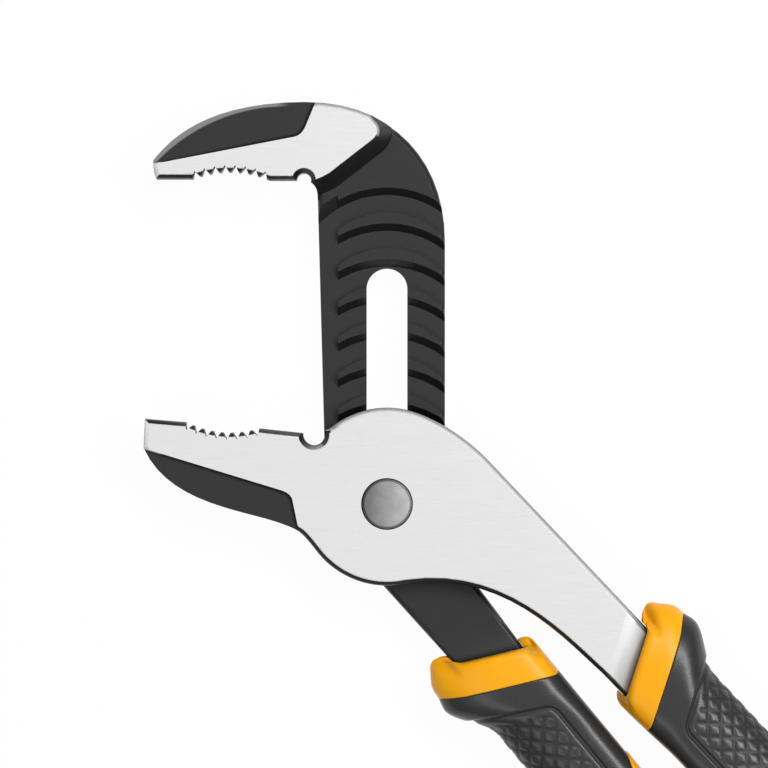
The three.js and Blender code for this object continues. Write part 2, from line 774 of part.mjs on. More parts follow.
/** One ring of a grip's outer skin at station s, drawn in at its inner side, outer side, top and bottom. */
function gripRing(handle, s, drawn = { inner: 0, outer: 0, top: 0 }) {
  const inner = bow(s) + drawn.inner;
  const outer = gripOuter(handle, s) + bow(s) - drawn.outer;
  const half = gripHalf(s) - drawn.top;
  const middle = inner + 0.42 * (outer - inner);
  const crown = COLLAR_CROWN * (1 - THREE.MathUtils.smoothstep(s, 0, SKEW_EASE));
  const ring = [];
  for (let i = 0; i < GRIP_STEPS; i += 1) {
    const angle = i * 2 * Math.PI / GRIP_STEPS;
    const [c, r] = [Math.cos(angle), Math.sin(angle)];
    const power = c > 0 ? 0.7 : 0.45;
    const reach = c > 0 ? outer - middle : middle - inner;
    const v = middle + reach * Math.sign(c) * Math.abs(c) ** power;
    const rise = Math.sign(r) * Math.abs(r) ** power;
    const u = skewedU(handle, s, v) - crown * (1 - rise * rise);
    ring.push(new THREE.Vector3(...onHandle(handle, u, v), GRIP_MIDDLE + half * rise));
  }
  return ring;
}

/** The outer form of the hard collar. */
function collar(handle) {
  const lip = [90, 60, 30].map((degrees) => {
    const share = 1 - Math.cos(rad(degrees));
    const drawn = { inner: LIP_INNER * share, outer: LIP_OUTER * share, top: LIP_TOP * share };
    return gripRing(handle, COLLAR_LIP * (1 - Math.sin(rad(degrees))), drawn);
  });
  return loft([...lip, ...[COLLAR_LIP, handle.collar / 2, handle.collar].map((s) => gripRing(handle, s))]);
}

const COVER_STATIONS = [9.6, 11.2, 12.8, 14.2, 15.6, 17.2, 19.3, 22, 28, 36, 44, 53, 62, 74, 86, 98, 108, 115];

/** The outer form of the soft cover, rounded off at its end. */
function coverForm(handle) {
  const nose = 4.5;
  const rings = [handle.collar + MOULD_GAP, ...COVER_STATIONS].map((s) => gripRing(handle, s));
  for (const turn of [0, 30, 55, 75]) {
    const s = GRIP_LENGTH - nose + nose * Math.sin(rad(turn));
    const drawn = nose * (1 - Math.cos(rad(turn)));
    rings.push(gripRing(handle, s, { inner: drawn, outer: drawn, top: drawn }));
  }
  return loft(rings);
}

/** The pad on the inner side of the grip, as a block that the cover's form is cut with. */
function inlayBlock(handle, grow) {
  const half = INLAY_HEIGHT / 2 + grow;
  const [first, last] = [INLAY_START - grow, INLAY_START + INLAY_LENGTH + grow];
  const outline = [];
  for (let step = 0; step < 2 * CURVE_STEPS; step += 1) {
    const angle = Math.PI * step / CURVE_STEPS;
    const end = Math.cos(angle) > 0 ? last - half : first + half;
    outline.push([end + half * Math.cos(angle), GRIP_MIDDLE + half * Math.sin(angle)]);
  }
  const depth = (u) => tangEdgeAt(handle, 'inner', u) - MOULD_GAP - CORE_WALL / 2 + grow;
  const ring = (v) => outline.map(([u, z]) => new THREE.Vector3(...onHandle(handle, u, v(u)), z));
  return loft([ring(() => -CLEAR), ring(depth)]);
}

function gripCore(handle) {
  const sleeve = tang(handle, SLEEVE_START, SLEEVE_END, MOULD_GAP + CORE_WALL);
  const inlay = coverForm(handle).intersect(inlayBlock(handle, 0));
  const hollow = tang(handle, -handle.collar, TANG_LENGTH + MOULD_GAP, MOULD_GAP);
  return collar(handle).add(sleeve).add(inlay).subtract(hollow);
}

function gripCover(handle) {
  const hollow = tang(handle, 0, SLEEVE_END + MOULD_GAP, 2 * MOULD_GAP + CORE_WALL);
  return coverForm(handle).subtract(hollow).subtract(inlayBlock(handle, MOULD_GAP));
}

// Assembly

const forgedBlack = new THREE.MeshStandardMaterial({ color: 0x3e3e3e, roughness: 0.5, metalness: 0.4 });
const groundSteel = new THREE.MeshStandardMaterial({ color: 0xececec, roughness: 0.3, metalness: 1 });
const boltSteel = new THREE.MeshStandardMaterial({ color: 0xa2a2a2, roughness: 0.4, metalness: 1 });
const hardOrange = new THREE.MeshStandardMaterial({ color: 0xfdb51e, roughness: 0.4, metalness: 0 });
const softGrey = new THREE.MeshStandardMaterial({ color: 0x444444, roughness: 0.6, metalness: 0 });

const pliers = new THREE.Group();
for (const [name, solid, material] of [
  ['slotted_jaw_arm', slottedArm(), forgedBlack],
  ['tongue_jaw_arm', tongueArm(), groundSteel],
  ['pivot_bolt', pivotBolt(), boltSteel],
  ['pivot_washer', pivotWasher(), boltSteel],
  ['pivot_nut', pivotNut(), boltSteel],
  ['left_grip_core', gripCore(leftHandle), hardOrange],
  ['left_grip_cover', gripCover(leftHandle), softGrey],
  ['right_grip_core', gripCore(rightHandle), hardOrange],
  ['right_grip_cover', gripCover(rightHandle), softGrey],
]) {
  const mesh = new THREE.Mesh(geometryOf(solid), material);
  mesh.name = name;
  pliers.add(mesh);
}

export default pliers;
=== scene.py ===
"""Water pump pliers lying on a pale floor, seen from straight above as in a catalogue picture.

The arms and the pivot hardware are the CAD solids with smoothed edges. The grips are worked out here
as sections carried along each handle. Lengths are in millimetres until a mesh is written in metres.
"""

import math

import bmesh
import bpy
import numpy as np
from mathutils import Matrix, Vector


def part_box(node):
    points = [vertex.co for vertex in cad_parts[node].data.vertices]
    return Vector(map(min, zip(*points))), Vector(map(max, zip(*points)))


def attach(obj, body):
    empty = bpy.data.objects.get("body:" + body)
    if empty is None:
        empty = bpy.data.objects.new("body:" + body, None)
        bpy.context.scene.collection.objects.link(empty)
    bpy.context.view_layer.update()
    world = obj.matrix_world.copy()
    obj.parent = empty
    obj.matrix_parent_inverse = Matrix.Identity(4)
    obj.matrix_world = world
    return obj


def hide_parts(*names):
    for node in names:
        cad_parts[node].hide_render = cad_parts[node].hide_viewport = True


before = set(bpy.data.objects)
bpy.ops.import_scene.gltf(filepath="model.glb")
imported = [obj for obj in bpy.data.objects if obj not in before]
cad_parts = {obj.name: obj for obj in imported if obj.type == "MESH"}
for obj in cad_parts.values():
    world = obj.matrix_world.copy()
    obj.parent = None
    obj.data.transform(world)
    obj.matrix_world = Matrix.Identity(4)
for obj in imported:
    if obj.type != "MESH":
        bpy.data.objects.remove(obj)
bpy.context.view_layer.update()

MM = 0.001

# Handles: U runs along a handle from its collar, V from its inner edge outwards, as in the CAD
HANDLE_SLOPE = 48.6
HANDLE_SPREAD = 3.4
GRIP_LENGTH = 124.0
GRIP_WAIST = 19.3
GRIP_BELLY = 21.6
GRIP_BOW = 4.0
GRIP_THICKNESS = 17.0
GRIP_MIDDLE = GRIP_THICKNESS / 2
WAIST_HEIGHT = 0.9
WAIST_END = 32.0
BELLY_STATION = 62.0
TAIL_STATION = GRIP_LENGTH - 18.0
TAIL_NARROWING = 0.6
END_LENGTH = 4.0
END_STATION = GRIP_LENGTH - END_LENGTH
COLLAR_SETBACK = 4.2
COLLAR_LIP = 2.0
LIP_OUTER = 2.0
LIP_TOP = 1.2
LIP_BULGE = 0.3
LIP_SAG = 0.8
LIP_SIDE = 1.8
LIP_ROUND = 3.6
COLLAR_CROWN = 2.5
COLLAR_CROWN_END = 12.5
COLLAR_CROWN_FLAT = 0.3
SWELL_START = 1.0
SWELL_END = 17.5
FLARE_SETBACK = 0.8
FLARE_FRONT = 3.7
FLARE_BACK = 8.4
SKEW_EASE = 20.0
SKEW_END = 60.0
SKEW_CENTRE = 2.7
TANG_WIDTH = 13.9
TANG_THICKNESS = 5.2
MOULD_GAP = 0.3
SEAM_GAP = 0.08
MOUTH_GAP = 0.1
MOUTH_DEPTH = 0.25
COLLAR_EDGE = 0.08
INLAY_START = 32.2
INLAY_LENGTH = 60.0
INLAY_HEIGHT = 13.6
INLAY_DEPTH = 1.3
INLAY_PROUD = 0.3
INLAY_EDGE = 0.5
INLAY_TURN = 0.25

LEFT = {
    "side": -1,
    "angle": -math.radians(HANDLE_SLOPE + HANDLE_SPREAD / 2),
    "start": 43.4,
    "offset": -5.6,
    "tang_edge": 2.7,
    "tang_rise": -1.55,
    "skew": 0.49,
    "collar": 8.4,
    "guard": 25.0,
    "peak": 11.0,
    "waist": 19.4,
    "swell": 0.1,
    "lip_start": 0.4,
    "lip_inner": 0.6,
}
RIGHT = {
    "side": 1,
    "angle": -math.radians(HANDLE_SLOPE - HANDLE_SPREAD / 2),
    "start": 66.8,
    "offset": 8.2,
    "tang_edge": 1.05,
    "tang_rise": 1.75,
    "skew": 0.55,
    "collar": 7.6,
    "guard": 23.8,
    "peak": 10.4,
    "waist": 18.9,
    "swell": 0.95,
    "lip_start": -0.45,
    "lip_inner": 1.4,
}

# Share of the full thickness along a grip, as (station, share)
GRIP_HEIGHT = np.array([
    (0, 0.96),
    (8, 1.0),
    (12, 1.0),
    (24, WAIST_HEIGHT),
    (BELLY_STATION, 1.0),
    (TAIL_STATION, 0.86),
    (END_STATION, 0.9),
])

# Section shape: the outer half is rounder than the inner half
SECTION_MIDDLE = 0.42
OUTER_POWER = 0.95
INNER_POWER = 0.525
TANG_POWER = 0.2

# Textured panel on the outer side of a cover
PANEL_EDGE = 5.8
PANEL_FRONT = (7.6, 18.6)
PANEL_FRONT_NORMAL = (0.888, 0.461)
PANEL_CORNER = 1.5
PANEL_GROOVE_WIDTH = 0.75
PANEL_GROOVE_DEPTH = 0.4
PANEL_SHOULDER_WIDTH = 2.0
PANEL_SHOULDER_DEPTH = 0.2
PANEL_RIM = 1.2
TEXTURE_FADE = 0.7
FLANK_FADE = (0.8, 2.4)
DIAMOND_PITCH = 2.95
DIAMOND_GROOVE = 0.45
DIAMOND_DEPTH = 0.25
GROOVE_SPREAD = 0.4

# Mesh fineness
SECTION_POINTS = 224
FINE_ANGLES = 20001
STATION_STEP = 0.33
FIRST_INSETS = (0.12, 0.02)
NOSE = 4.5
NOSE_STEPS = 14
NOSE_RINGS = (0.75, 0.5, 0.25)
BODY_STEPS = 20
BODY_MARGIN = 0.2
LIP_STEPS = 9
FACE_SHARES = (0.1, 0.9, 9)
BORE_STEPS = 6
INLAY_POINTS = 144
INLAY_RINGS = (0.03, 1, 26)
INLAY_EDGE_STEPS = 6
INLAY_ROUNDS = 4
SHORTEST = 1e-12

# Smoothing of the forgings and the pivot's hardware; a level face keeps its flat look up to its border
MERGE_STEP = 1e-6
LEVEL_NORMAL = 0.9999
LEVEL_CREASE = 3
ARM_CREASE = 50
ROUND_CREASE = 30
NUT_CREASE = 25
FACE_WEIGHT = 100

# Forged arms: a black coat, ground planes, pale rims and jaw tips, and painted highlights on lamp-facing
# edges and the crown.
# A pair holds the two ends of a fade, and a side is a direction in the arm's own frame.
BLACK_COAT = 0.012
COAT_CLOUD = (0.85, 1.15)
COAT_GLOSS = 0.36
COAT_ROUGHNESS = (0.36, 0.46)
GROUND_STEEL = 0.84
GROUND_CLOUD = 0.015
GROUND_ROUGHNESS = (0.27, 0.30)
GROUND_REACH = (0.01, 0.10)
LEVEL_TILT = (0.993, 0.9995)
DIP_REACH = (3.0, 1.5)
DIP_SIDE = (18.0, 24.0)
DIP_FLAT = (0.88, 0.95)
# Painted shade just before a collar's lip: the ground brightness fades and the black coat darkens
LIP_FADE = 5.5
LIP_SHARE = 0.1
LIP_SHADE = (1.6, 0.3)
LIP_DARK = 0.3
EDGE_DEPTH = (0.8, 1.1)
RIM_PALE = (0.06, 0.11)
# The lit side faces the key lamp; rounded edges that face it carry a painted highlight from pale to grey
LIT_SIDE = (0.6, 0.8, 0.0)
LIT_TILT = (0.08, 0.3)
LIT_LEAN = 0.25
LIT_HEADING = (0.1, 0.35)
HIGHLIGHT_FROM = (-19.0, -15.0)
HIGHLIGHT_PALE_REACH = (0.12, 0.3)
HIGHLIGHT_GREY = 0.35
RIM_AND_HIGHLIGHT_PALE = 0.74
TIP_SIDE = (-1.0, 0.0, 0.0)
TIP_TILT = (0.05, 0.12)
TIP_END = (-50.0, -49.5)
# The crown's painted highlight: a grey band inside its arc, on level faces, fading out towards the arm
CROWN_CENTRE = (-22.2, 48.1)
CROWN_RADIUS = 40.5
CROWN_RIM = (0.9, 1.2)
CROWN_RIM_END = (-24.5, -21.5)
CROWN_LEVEL = (0.5, 0.9)
CROWN_HIGHLIGHT_GREY = 0.23

# Turned bolt, washer and nut: two tones as shares of the steel's level, the bright one a painted sheen
# towards +X
BOLT_STEEL = 0.36
HEAD_RADIUS = 5.5
DULL_TONE = (0.32, 0.37)
BRIGHT_TONE = (1.30, 1.44)
TURNED_ROUGHNESS = (0.34, 0.44)
RING_SCALE = 900.0
RING_WAVER = 0.6

# Mouldings: two tones, roughness, gloss, and the grain's scale per metre and depth in metres
ORANGE_TONES = ((1.0, 0.42, 0.002, 1.0), (1.0, 0.46, 0.004, 1.0))
ORANGE_SURFACE = (0.34, 0.25, 4000, 0.00003)
RUBBER_TONES = ((0.026, 0.026, 0.026, 1.0), (0.033, 0.033, 0.033, 1.0))
RUBBER_SURFACE = (0.26, 0.38, 3200, 0.00005)
MOULD_ROUGHNESS = 0.05
# PANEL_SHADE darkens the textured panel's colour, a painted shade of its diamond texture
PANEL_SHADE = 0.75
PANEL_ROUGHENING = 0.06
GROOVE_ROUGHENING = 0.15
PANEL_GLOSS = 1.5
GROOVE_GLOSS = 0.6
FLANK_GLOSS = 0.1

# Noise: scales per metre, the part of its range that is used, and bumps as strength and depth in metres
NOISE_RANGE = (0.3, 0.7)
COAT_CLOUD_SCALE = (160, 160, 160)
PIT_SCALE = (2600, 2600, 2600)
BRUSH_SCALE = (220, 9000, 9000)
TURNED_CLOUD_SCALE = (500, 500, 500)
MOULD_CLOUD_SCALE = (90, 90, 90)
FORGING_BUMP = (0.12, 0.00006)
TURNED_BUMP = (0.1, 0.00004)
MOULD_BUMP = 0.15

# Floor, camera and studio in metres: bright overhead and dark round the horizon, with a long lamp on
# each side of the handles
FLOOR_HALF = 1.5
FLOOR_WHITE = 0.94
FLOOR_ROUGHNESS = 0.9
FLOOR_GLOW = 0.97
VIEW_WIDTH = 0.16896
VIEW_CENTRE = (-0.00066, 0.0264)
VIEW_DISTANCE = 1.5
VIEW_END = 10.0
SENSOR = 36.0
SKY_BRIGHT_SIDE = (0.0, 0.05, 0.9987)
SKY_RANGE = (0.45, 0.8)
SKY_LIGHT = 0.42
SKY_DARK = 0.4
SKY_GLOSS = 0.8
LAMP_SIZE = (0.22, 1.0)
LAMPS = (
    ("key_light", (0.411, 0.357, 0.839), 7.6),
    ("fill_light", (-0.354, -0.308, 0.883), 1.3),
)


def smoothstep(x, low, high):
    """The cubic 3t^2 - 2t^3 of the share t of x between low and high, held at its ends."""
    t = np.clip((x - low) / (high - low), 0, 1)
    return t * t * (3 - 2 * t)


def along(stops, s):
    """A value at station s: each pair of stops is joined by a cubic that is level at both."""
    k = np.clip(np.searchsorted(stops[:, 0], s, side="right") - 1, 0, len(stops) - 2)
    share = smoothstep(s, stops[k, 0], stops[k + 1, 0])
    return stops[k, 1] + share * (stops[k + 1, 1] - stops[k, 1])


def skew(handle, s):
    """How far a section leans: full at the collar, easing to square across the handle."""
    return handle["skew"] * (1 - smoothstep(s, SKEW_EASE, SKEW_END))


def grip_outer(handle, s):
    """V of the outer side: level cubics through the collar, guard, waist, belly and tail."""
    stops = [
        (0, handle["guard"] - COLLAR_SETBACK),
        (handle["peak"] - FLARE_FRONT, handle["guard"] - FLARE_SETBACK),
        (handle["peak"], handle["guard"]),
        (handle["peak"] + FLARE_BACK, handle["waist"]),
        (WAIST_END, handle["waist"]),
        (BELLY_STATION, GRIP_BELLY),
        (TAIL_STATION, GRIP_WAIST - TAIL_NARROWING),
        (END_STATION, GRIP_WAIST),
    ]
    return along(np.array(stops), s)


def bow(s):
    """Outward bow of a grip: the square of the share of length behind the inlay's start."""
    free = np.maximum(0, (s - INLAY_START) / (GRIP_LENGTH - INLAY_START))
    return GRIP_BOW * free**2


def grip_inner(handle, s):
    """V of the inner side: the bow, less a swell that is full at the collar and eases to nothing."""
    return bow(s) - handle["swell"] * (1 - smoothstep(s, SWELL_START, SWELL_END))


def collar_crown(s, rise):
    """How far a section's flanks reach forward of its top: full at the mouth, nothing behind the collar."""
    near_mouth = 1 - smoothstep(s, 0, COLLAR_CROWN_END)
    return COLLAR_CROWN * near_mouth * smoothstep(1 - rise**2, COLLAR_CROWN_FLAT, 1)


def on_handle(handle, u, v, z):
    """Points in metres from a handle's U, V and height: the U axis turned by the handle's angle."""
    along_axis = handle["start"] + u
    across = handle["side"] * (handle["offset"] + v)
    c, s = math.cos(handle["angle"]), math.sin(handle["angle"])
    points = np.stack(np.broadcast_arrays(along_axis * c - across * s, along_axis * s + across * c, z), -1)
    return points * MM


def power_pair(angle, outer_power, inner_power):
    """Superellipse cosine and sine: each keeps its sign and is raised to the half's power."""
    c, s = np.cos(angle), np.sin(angle)
    power = np.where(c > 0, outer_power, inner_power)
    return np.sign(c) * np.abs(c) ** power, np.sign(s) * np.abs(s) ** power


def even_angles(count):
    """Angles evenly spaced in arc length round a waist section, and that length from the outer side."""
    fine = np.linspace(-math.pi, math.pi, FINE_ANGLES)
    side, rise = power_pair(fine, OUTER_POWER, INNER_POWER)
    reach = np.where(side > 0, 1 - SECTION_MIDDLE, SECTION_MIDDLE) * GRIP_WAIST
    walk = np.hypot(np.diff(side * reach), np.diff(rise * WAIST_HEIGHT * GRIP_MIDDLE))
    length = np.concatenate([[0], np.cumsum(walk)])
    stops = np.linspace(0, length[-1], count, endpoint=False)
    return np.interp(stops, length, fine), stops - np.interp(0, fine, length)


def grip_section(handle, s, angle, drawn):
    """U, V and height on a grip's skin: a superellipse of two halves, sheared and crowned forward.

    It is drawn in by three lengths: at its inner side, at its outer side, and at its top and bottom.
    """
    inner = grip_inner(handle, s) + drawn[0]
    outer = grip_outer(handle, s) + bow(s) - drawn[1]
    half = along(GRIP_HEIGHT, s) * GRIP_THICKNESS / 2 - drawn[2]
    middle = inner + SECTION_MIDDLE * (outer - inner)
    side, rise = power_pair(angle, OUTER_POWER, INNER_POWER)
    v = middle + side * np.where(side > 0, outer - middle, middle - inner)
    u = s - skew(handle, s) * (v - SKEW_CENTRE) - collar_crown(s, rise)
    return u, v, GRIP_MIDDLE + half * rise


def mouth_section(handle, s, angle, grow):
    """U, V and height round the tang at the collar: a squarer superellipse, crowned like the grip."""
    side, rise = power_pair(angle, TANG_POWER, TANG_POWER)
    middle = handle["tang_edge"] + TANG_WIDTH / 2
    v = middle + side * (TANG_WIDTH / 2 + grow)
    u = s - skew(handle, s) * (v - SKEW_CENTRE) - collar_crown(s, rise)
    height = GRIP_MIDDLE + handle["tang_rise"] * (1 - smoothstep(s, 0, handle["collar"]))
    return u, v, height + rise * (TANG_THICKNESS / 2 + grow)


def sagged(handle, s, section):
    """A section near the mouth, lowered beside the tang by the square of the share of way to the lip."""
    u, v, z = section
    beside = np.maximum(handle["tang_edge"] - v, v - handle["tang_edge"] - TANG_WIDTH)
    ahead = np.clip(1 - (s - handle["lip_start"]) / LIP_ROUND, 0, 1)
    drop = LIP_SAG * smoothstep(beside, 0, LIP_SIDE) * ahead**2
    return u, v, GRIP_MIDDLE + (z - GRIP_MIDDLE) * (1 - drop)


def normals_of(points):
    """Unit normals of a grid closed round its columns: the cross product of its two slopes."""
    down = np.gradient(points, axis=0)
    round_ = np.roll(points, -1, axis=1) - np.roll(points, 1, axis=1)
    normal = np.cross(down, round_)
    normal /= np.maximum(np.linalg.norm(normal, axis=-1, keepdims=True), SHORTEST)
    outward = points - points.mean(axis=1, keepdims=True)
    return normal * np.sign(np.sum(normal * outward))


def shell(points, caps=(True, True), ring=False):
    """Vertices and faces of a grid closed round its columns, with a fan at each capped end.

    A ring also joins its last row to its first. Faces are turned outwards by the shell's volume.
    """
    rows, columns = points.shape[:2]
    vertices = points.reshape(-1, 3)
    index = np.arange(rows * columns).reshape(rows, columns)
    upper = index if ring else index[:-1]
    lower = np.roll(index, -1, axis=0) if ring else index[1:]
    quads = np.stack([upper, np.roll(upper, -1, 1), np.roll(lower, -1, 1), lower], -1).reshape(-1, 4)
    faces = quads.tolist()
    for row, capped, step in ((index[0], caps[0], 1), (index[-1], caps[1], -1)):
        if capped and not ring:
            pole = len(vertices)
            vertices = np.vstack([vertices, vertices[row].mean(axis=0)])
            fan = np.stack([np.full(columns, pole), np.roll(row, -1), row], -1)[:, ::step]
            faces += fan.tolist()
    a, b, c, d = (vertices[quads[:, k]] for k in range(4))
    volume = np.einsum("ij,ij->", a, np.cross(b, c)) + np.einsum("ij,ij->", a, np.cross(c, d))
    if volume < 0:
        faces = [face[::-1] for face in faces]
    return vertices, faces


def piece_of(name, shells, material):
    """One smooth object from closed shells, placed by its vertices."""
    vertices, faces = [], []
    for points, corners in shells:
        base = sum(len(v) for v in vertices)
        vertices.append(points)
        faces += [[base + corner for corner in face] for face in corners]
    mesh = bpy.data.meshes.new(name)
    mesh.from_pydata(np.vstack(vertices).tolist(), [], faces)
    mesh.update()
    mesh.shade_smooth()
    mesh.materials.append(material)
    piece = bpy.data.objects.new(name, mesh)
    bpy.context.scene.collection.objects.link(piece)
    return piece


def panel_depth(u, v, s):
    """Distance inside the textured panel: the nearer of its two borders, with a rounded corner."""
    inside = v - bow(s) - PANEL_EDGE
    behind = (u - PANEL_FRONT[0]) * PANEL_FRONT_NORMAL[0] + (v - PANEL_FRONT[1]) * PANEL_FRONT_NORMAL[1]
    q, r = PANEL_CORNER - inside, PANEL_CORNER - behind
    return PANEL_CORNER - np.hypot(np.maximum(q, 0), np.maximum(r, 0)) - np.minimum(np.maximum(q, r), 0)


def hump(x, half_width):
    """A squared-cosine hump of height one, zero beyond half_width."""
    return np.cos(np.clip(x / half_width, -1, 1) * math.pi / 2) ** 2


def inlay_distance(u, z):
    """Signed distance from the inlay's edge, a straight slot shape with round ends, below zero inside."""
    radius = INLAY_HEIGHT / 2
    half = INLAY_LENGTH / 2 - radius
    past = np.maximum(np.abs(u - INLAY_START - INLAY_LENGTH / 2) - half, 0)
    return np.hypot(past, z - GRIP_MIDDLE) - radius


def cover_relief(handle, u, v, z, s, girth, angle):
    """Height of the cover's surface detail: panel groove, crossed diamond grooves and inlay seat.

    With it come three shares: how far a point is inside the panel, how deep it is in a groove, and how
    near it is to the inner side.
    """
    inside = panel_depth(u, v, s)
    shoulder = hump(np.maximum(inside, 0), PANEL_SHOULDER_WIDTH)
    shoulder = shoulder * smoothstep(inside, -PANEL_GROOVE_WIDTH, 0)
    border = hump(inside, PANEL_GROOVE_WIDTH)
    lines = [(u + sign * girth) / math.sqrt(2) / DIAMOND_PITCH for sign in (1, -1)]
    near = [np.abs(line - np.round(line)) * DIAMOND_PITCH for line in lines]
    land = np.prod([1 - np.exp(-((distance / DIAMOND_GROOVE) ** 2)) for distance in near], axis=0)
    before_end = smoothstep(END_STATION - s, 0, END_LENGTH)
    texture = smoothstep(inside, PANEL_RIM, PANEL_RIM + TEXTURE_FADE) * before_end
    diamonds = texture * (1 - land)
    relief = -PANEL_GROOVE_DEPTH * border - PANEL_SHOULDER_DEPTH * shoulder - DIAMOND_DEPTH * diamonds
    seat = (np.cos(angle) < 0) * smoothstep(-inlay_distance(u, z), -MOULD_GAP, MOULD_GAP / 2)
    shares = {
        "panel": smoothstep(inside, 0, PANEL_RIM),
        "groove": np.maximum(border**GROOVE_SPREAD, diamonds),
        "flank": 1 - smoothstep(v - grip_inner(handle, s), *FLANK_FADE),
    }
    return relief - INLAY_DEPTH * seat, shares


def grip_cover(handle):
    """The soft cover: sections from behind the collar to a rounded end, moved along their normals.

    It comes with the relief's shares, one value for each vertex.
    """
    angle, girth = even_angles(SECTION_POINTS)
    first = handle["collar"] + SEAM_GAP
    stations = np.arange(first, GRIP_LENGTH - NOSE, STATION_STEP)
    turn = np.linspace(0, math.pi / 2, NOSE_STEPS)
    s = np.concatenate([[first], stations, GRIP_LENGTH - NOSE + NOSE * np.sin(turn)])[:, None]
    level = np.zeros(len(stations) - 1)
    inset = np.concatenate([FIRST_INSETS, level, NOSE * (1 - np.cos(turn))])[:, None]
    u, v, z = grip_section(handle, s, angle[None, :], (inset, inset, inset))
    points = on_handle(handle, u, v, z)
    relief, shares = cover_relief(handle, u, v, z, s, girth[None, :], angle[None, :])
    points = points + normals_of(points) * (relief * MM)[..., None]
    last = points[-1]
    shrink = np.array(NOSE_RINGS)[:, None, None]
    middle = last.mean(axis=0)
    end = middle + (last - middle) * shrink
    vertices, faces = shell(np.concatenate([points, end]))
    spare = np.zeros(len(vertices) - u.size)
    return (vertices, faces), {key: np.append(share.ravel(), spare) for key, share in shares.items()}


def collar(handle):
    """The hard collar: out over the skin, round the lip, down the face to the tang and back inside."""
    angle, _ = even_angles(SECTION_POINTS)
    angle = angle[None, :]
    turn = np.linspace(0, math.pi / 2, LIP_STEPS)[:, None]
    length = handle["collar"]
    start = handle["lip_start"]
    body = np.linspace(length - BODY_MARGIN, start + COLLAR_LIP + BODY_MARGIN, BODY_STEPS)[:, None]
    edge = grip_section(handle, np.full((1, 1), length), angle, (COLLAR_EDGE,) * 3)
    skin = sagged(handle, body, grip_section(handle, body, angle, (0, 0, 0)))
    drawn = [depth * (1 - np.cos(turn)) for depth in (handle["lip_inner"], LIP_OUTER, LIP_TOP)]
    rim = start + COLLAR_LIP * (1 - np.sin(turn))
    lip = sagged(handle, rim, grip_section(handle, rim, angle, drawn))
    outer = [on_handle(handle, *part) for part in (edge, skin, lip)]
    mouth_station = np.full((1, 1), start + MOUTH_DEPTH)
    mouth = on_handle(handle, *mouth_section(handle, mouth_station, angle, MOUTH_GAP))
    share = np.linspace(*FACE_SHARES)[:, None, None]
    ahead = -np.array([math.cos(handle["angle"]), math.sin(handle["angle"]), 0]) * MM
    face = outer[-1][-1:] * (1 - share) + mouth * share + 4 * LIP_BULGE * share * (1 - share) * ahead
    bore_stations = np.linspace(start + MOUTH_DEPTH, length, BORE_STEPS)[:, None]
    bore = on_handle(handle, *mouth_section(handle, bore_stations, angle, MOUTH_GAP))
    return shell(np.concatenate([*outer, face, bore]), ring=True)


def inlay(handle):
    """The inlay: the inner skin over a slot-shaped outline, with rounded edges and a closed back.

    Each point's station depends on its V through the lean, so both are found in a few rounds.
    """
    radius = INLAY_HEIGHT / 2
    half = INLAY_LENGTH / 2 - radius
    turn = np.linspace(0, 2 * math.pi, INLAY_POINTS, endpoint=False)[None, :]
    spread = np.linspace(*INLAY_RINGS)[:, None]
    rim_turn = np.linspace(0, math.pi / 2, INLAY_EDGE_STEPS)[1:, None]
    flat = radius - INLAY_EDGE
    reach = np.concatenate([spread * flat, flat + INLAY_EDGE * np.sin(rim_turn)])
    drop = np.concatenate([np.zeros_like(spread), INLAY_EDGE * (1 - np.cos(rim_turn))])
    reach = np.concatenate([reach, reach[-1:]])
    drop = np.concatenate([drop, drop[-1:] + INLAY_DEPTH / 2])
    share = np.minimum(reach / flat, 1)
    towards_end = np.sign(np.cos(turn)) * smoothstep(np.abs(np.cos(turn)), 0, INLAY_TURN)
    u = INLAY_START + INLAY_LENGTH / 2 + share * half * towards_end + reach * np.cos(turn)
    z = reach * np.sin(turn)
    s = u.copy()
    for _ in range(INLAY_ROUNDS):
        rise = z / (along(GRIP_HEIGHT, s) * GRIP_THICKNESS / 2)
        depth = (1 - np.abs(rise) ** (2 / INNER_POWER)) ** (INNER_POWER / 2)
        inner, outer = bow(s), grip_outer(handle, s) + bow(s)
        v = inner + SECTION_MIDDLE * (outer - inner) * (1 - depth)
        s = u + skew(handle, s) * (v - SKEW_CENTRE)
    points = on_handle(handle, u, v + drop - INLAY_PROUD, GRIP_MIDDLE + z)
    return shell(points)


def carried_over(node, name, material, crease):
    """A copy of a CAD node with its corners merged, smooth wherever faces meet below the crease angle.

    Round a level face the crease angle is LEVEL_CREASE, so that it stays flat up to its border.
    """
    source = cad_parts[node].data
    points = np.empty(len(source.vertices) * 3)
    corners = np.empty(len(source.loops), dtype=np.int32)
    source.vertices.foreach_get("co", points)
    source.loops.foreach_get("vertex_index", corners)
    grid = np.round(points.reshape(-1, 3) / MERGE_STEP).astype(np.int64)
    _, first, place = np.unique(grid, axis=0, return_index=True, return_inverse=True)
    triangles = place.reshape(-1)[corners].reshape(-1, 3)
    mesh = bpy.data.meshes.new(name)
    mesh.from_pydata(points.reshape(-1, 3)[first].tolist(), [], triangles.tolist())
    mesh.update()
    mesh.shade_smooth()
    form = bmesh.new()
    form.from_mesh(mesh)
    for edge in form.edges:
        level = any(abs(face.normal.z) > LEVEL_NORMAL for face in edge.link_faces)
        limit = math.radians(min(crease, LEVEL_CREASE) if level else crease)
        edge.smooth = edge.calc_face_angle(math.pi) < limit
    form.to_mesh(mesh)
    form.free()
    mesh.materials.append(material)
    piece = bpy.data.objects.new(name, mesh)
    bpy.context.scene.collection.objects.link(piece)
    even = piece.modifiers.new("even_faces", "WEIGHTED_NORMAL")
    even.keep_sharp = True
    even.weight = FACE_WEIGHT
    return piece


# Materials


